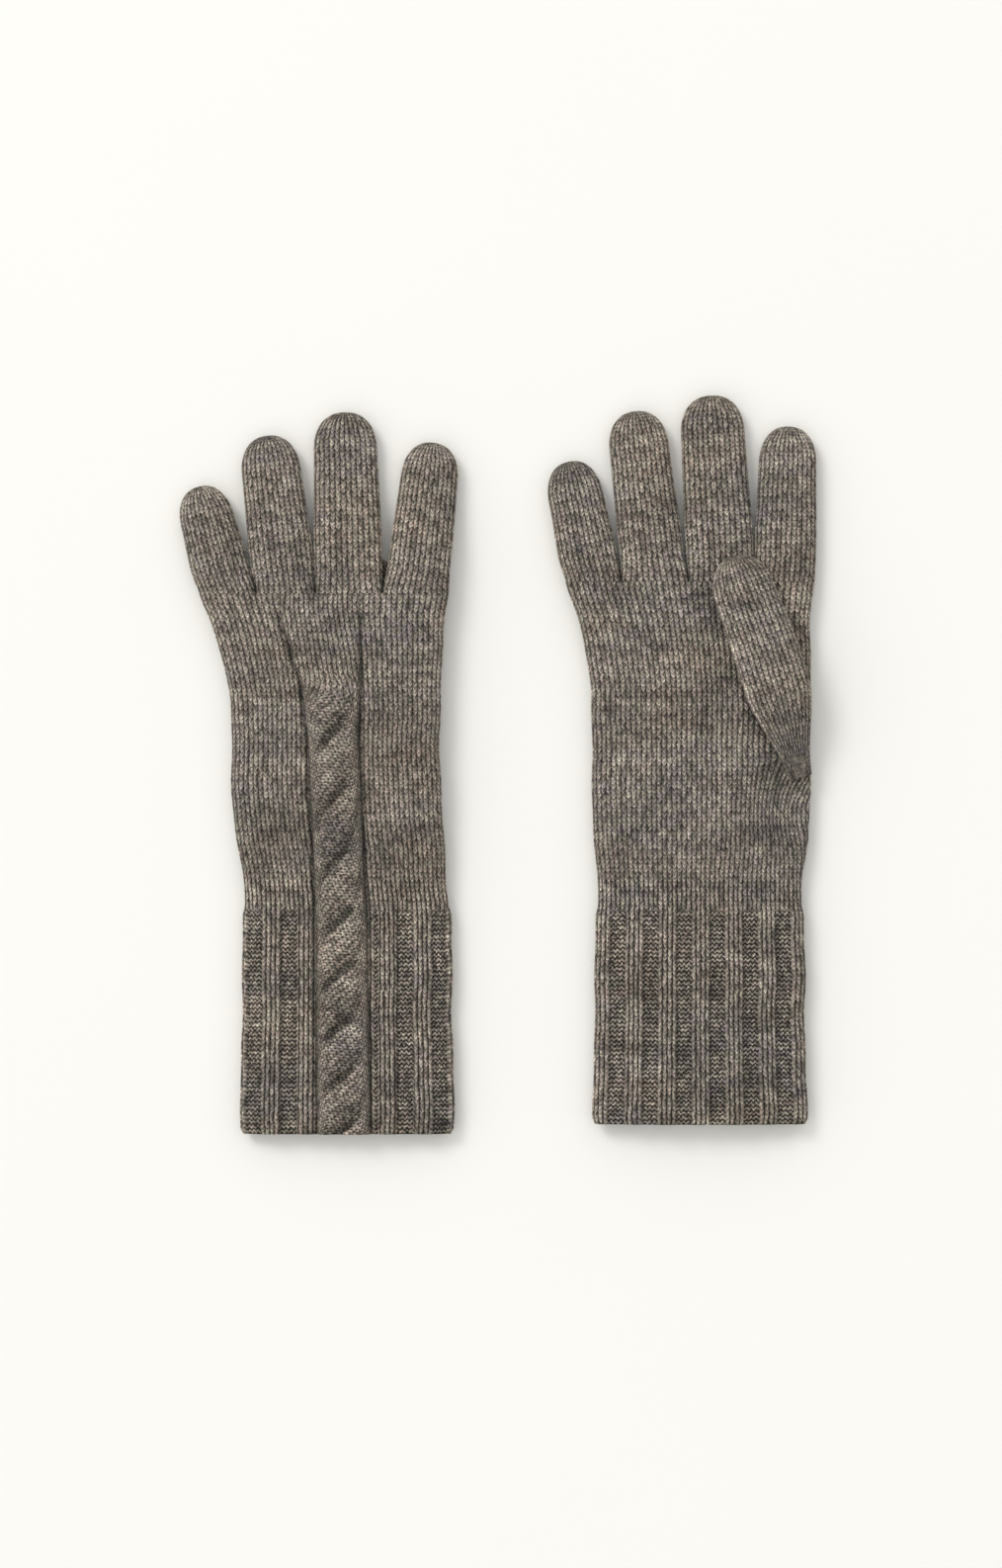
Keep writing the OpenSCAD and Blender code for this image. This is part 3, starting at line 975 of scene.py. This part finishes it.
def stage_settings():
    return bpy.context.scene.glove_stage


# ---------------------------------------------------------------- operators

class OBJECT_OT_knit_cuffs(bpy.types.Operator):
    """Knit the two ribbed cuffs, each with its cable"""

    bl_idname = "gloves.knit_cuffs"
    bl_label = "Knit Cuffs"

    def execute(self, context):
        for side in SIDES:
            glove = Glove(side)
            top = glove.wrist_y + CUFF_JOIN
            tube = body_tube(glove, glove.hem_y, top)
            on_face = cable_face(tube, glove)
            rib_cuff(tube, glove, on_face)
            knit_cable(tube, glove, on_face)
            tube.stitch_relief()
            piece = woven_piece(
                side + "_cuff_knit", tube, knit_settings().wall,
                wool_for("ribbed_knit")
            )
            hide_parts(side + "_cuff", side + "_cuff_cable")
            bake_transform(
                piece, side + "_hand", side + "_cuff",
                start=(glove.middle * MM, (glove.wrist_y + 9) * MM, 0.006),
                end=(glove.middle * MM, (glove.wrist_y - 9) * MM, 0.006),
            )
        return {"FINISHED"}


class OBJECT_OT_knit_hands(bpy.types.Operator):
    """Knit the two hands from above the wrist to the webs"""

    bl_idname = "gloves.knit_hands"
    bl_label = "Knit Hands"

    def execute(self, context):
        for side in SIDES:
            glove = Glove(side)
            start = glove.wrist_y + CUFF_JOIN
            tube = body_tube(glove, start, glove.web_y)
            knit_cable(tube, glove, cable_face(tube, glove))
            tube.stitch_relief()
            piece = woven_piece(
                side + "_hand_knit", tube, knit_settings().wall,
                wool_for("plain_knit")
            )
            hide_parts(side + "_hand", side + "_hand_cable")
            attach(piece, side + "_hand")
        return {"FINISHED"}


class OBJECT_OT_knit_fingers(bpy.types.Operator):
    """Knit the eight fingers, each in a lower and an upper length"""

    bl_idname = "gloves.knit_fingers"
    bl_label = "Knit Fingers"

    def execute(self, context):
        for side in SIDES:
            glove = Glove(side)
            for finger in FINGERS:
                tube, knuckles, root, heading, s = finger_tube(glove, finger)
                tube.stitch_relief()
                cut = int(np.searchsorted(s, sum(knuckles) / 2))
                name = f"{side}_{finger}_finger"
                lower = woven_piece(
                    name + "_lower_knit", part_of(tube, 0, cut + 1), knit_settings().wall,
                    wool_for("plain_knit")
                )
                upper = woven_piece(
                    name + "_upper_knit", part_of(tube, cut, len(s)), knit_settings().wall,
                    wool_for("plain_knit"), closed=True
                )
                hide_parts(name + "_base", name + "_middle")
                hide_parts(name + "_tip")
                bodies = (side + "_hand", name + "_mid", name + "_end")
                for k, piece in enumerate((lower, upper)):
                    bend = BEND_REACH if k == 0 else BEND_REACH * 0.9
                    ends = [
                        (*((root + heading * (knuckles[k] + d)) * MM), 0.005) for d in (-bend, bend)
                    ]
                    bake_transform(piece, bodies[k], bodies[k + 1], start=ends[0], end=ends[1])
        return {"FINISHED"}


class OBJECT_OT_knit_thumbs(bpy.types.Operator):
    """Knit the two folded thumbs"""

    bl_idname = "gloves.knit_thumbs"
    bl_label = "Knit Thumbs"

    def execute(self, context):
        for side in SIDES:
            glove = Glove(side)
            tube, at, heading = thumb_tube(glove)
            tube.stitch_relief()
            piece = woven_piece(
                side + "_thumb_knit", tube, knit_settings().wall * 0.8,
                wool_for("plain_knit"), closed=True
            )
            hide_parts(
                side + "_thumb_gusset", side + "_thumb_base", side + "_thumb_tip"
            )
            ends = [(*((at + heading * d) * MM), 0.01) for d in (-BEND_REACH, BEND_REACH)]
            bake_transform(piece, side + "_thumb", side + "_thumb_end", start=ends[0], end=ends[1])
        return {"FINISHED"}


class OBJECT_OT_glove_stage(bpy.types.Operator):
    """Lay the pale floor, hang the soft light and set the camera overhead"""

    bl_idname = "gloves.set_stage"
    bl_label = "Set Stage"

    def execute(self, context):
        stage = stage_settings()
        scene = context.scene
        shape = bmesh.new()
        bmesh.ops.create_grid(shape, x_segments=8, y_segments=8, size=FLOOR_HALF)
        mesh = bpy.data.meshes.new("floor")
        shape.to_mesh(mesh)
        shape.free()
        floor = bpy.data.objects.new("floor", mesh)
        scene.collection.objects.link(floor)
        line = NodeLine("pale_floor")
        place = line.node("ShaderNodeTexCoord").outputs["Object"]
        cloud = line.noise(place, 5.0, 2.0)
        base = line.mix(line.remap(cloud, 0.3, 0.7), tuple(stage.floor),
                        tuple(c * 0.995 for c in stage.floor[:3]) + (1.0,))
        skin = line.node("ShaderNodeBsdfPrincipled")
        line.join(base, skin.inputs["Base Color"])
        skin.inputs["Roughness"].default_value = 0.9
        skin.inputs["Specular IOR Level"].default_value = 0.1
        out = line.node("ShaderNodeOutputMaterial")
        line.join(skin.outputs[0], out.inputs[0])
        mesh.materials.append(line.material)

        world = bpy.data.worlds.new("soft_light")
        world.use_nodes = True
        glow = world.node_tree.nodes["Background"]
        glow.inputs["Color"].default_value = (1.0, 0.99, 0.97, 1.0)
        sky = world.node_tree.nodes
        facing = sky.new("ShaderNodeTexCoord")
        toward = sky.new("ShaderNodeVectorMath")
        toward.operation = "DOT_PRODUCT"
        toward.inputs[1].default_value = SKY_TOWARD
        strength = sky.new("ShaderNodeMath")
        strength.operation = "MULTIPLY_ADD"
        strength.inputs[1].default_value = stage.sky * stage.slant
        strength.inputs[2].default_value = stage.sky
        world.node_tree.links.new(facing.outputs["Generated"], toward.inputs[0])
        world.node_tree.links.new(toward.outputs["Value"], strength.inputs[0])
        world.node_tree.links.new(strength.outputs[0], glow.inputs["Strength"])
        scene.world = world

        lamp = bpy.data.lights.new("key_light", "AREA")
        lamp.shape = "DISK"
        lamp.size = KEY_WIDTH
        lamp.energy = stage.key
        lamp.color = (1.0, 0.985, 0.96)
        key = bpy.data.objects.new("key_light", lamp)
        key.location = KEY_PLACE
        key.rotation_euler = (-Vector(KEY_PLACE)).to_track_quat("-Z", "Y").to_euler()
        scene.collection.objects.link(key)

        view = bpy.data.cameras.new("overhead")
        view.lens = 85
        view.sensor_width = 36
        view.clip_end = 20
        camera = bpy.data.objects.new("overhead", view)
        camera.location = (VIEW_MIDDLE[0], VIEW_MIDDLE[1], stage.view_height)
        scene.collection.objects.link(camera)
        scene.camera = camera
        scene.view_settings.view_transform = "Standard"
        return {"FINISHED"}


class VIEW3D_PT_gloves(bpy.types.Panel):
    """Lists the steps that make the gloves"""

    bl_label = "Cable Gloves"
    bl_idname = "VIEW3D_PT_gloves"
    bl_space_type = "VIEW_3D"
    bl_region_type = "UI"
    bl_category = "Gloves"

    def draw(self, context):
        for step in STEPS:
            self.layout.operator(step.bl_idname)
        for group in (knit_settings(), cable_settings(), wool_settings(), stage_settings()):
            box = self.layout.box()
            for key in group.__annotations__:
                box.prop(group, key)


STEPS = (
    OBJECT_OT_glove_stage,
    OBJECT_OT_knit_cuffs,
    OBJECT_OT_knit_hands,
    OBJECT_OT_knit_fingers,
    OBJECT_OT_knit_thumbs,
)
SETTINGS = {
    "glove_knit": KnitSettings,
    "glove_cable": CableSettings,
    "glove_wool": WoolSettings,
    "glove_stage": StageSettings,
}


def register():
    for group in (*SETTINGS.values(), *STEPS, VIEW3D_PT_gloves):
        bpy.utils.register_class(group)
    for name, group in SETTINGS.items():
        setattr(bpy.types.Scene, name, bpy.props.PointerProperty(type=group))


def unregister():
    for name in SETTINGS:
        delattr(bpy.types.Scene, name)
    for group in (VIEW3D_PT_gloves, *reversed(STEPS), *SETTINGS.values()):
        bpy.utils.unregister_class(group)


def main():
    register()
    bpy.ops.gloves.set_stage()
    bpy.ops.gloves.knit_cuffs()
    bpy.ops.gloves.knit_hands()
    bpy.ops.gloves.knit_fingers()
    bpy.ops.gloves.knit_thumbs()


if __name__ == "__main__":
    main()
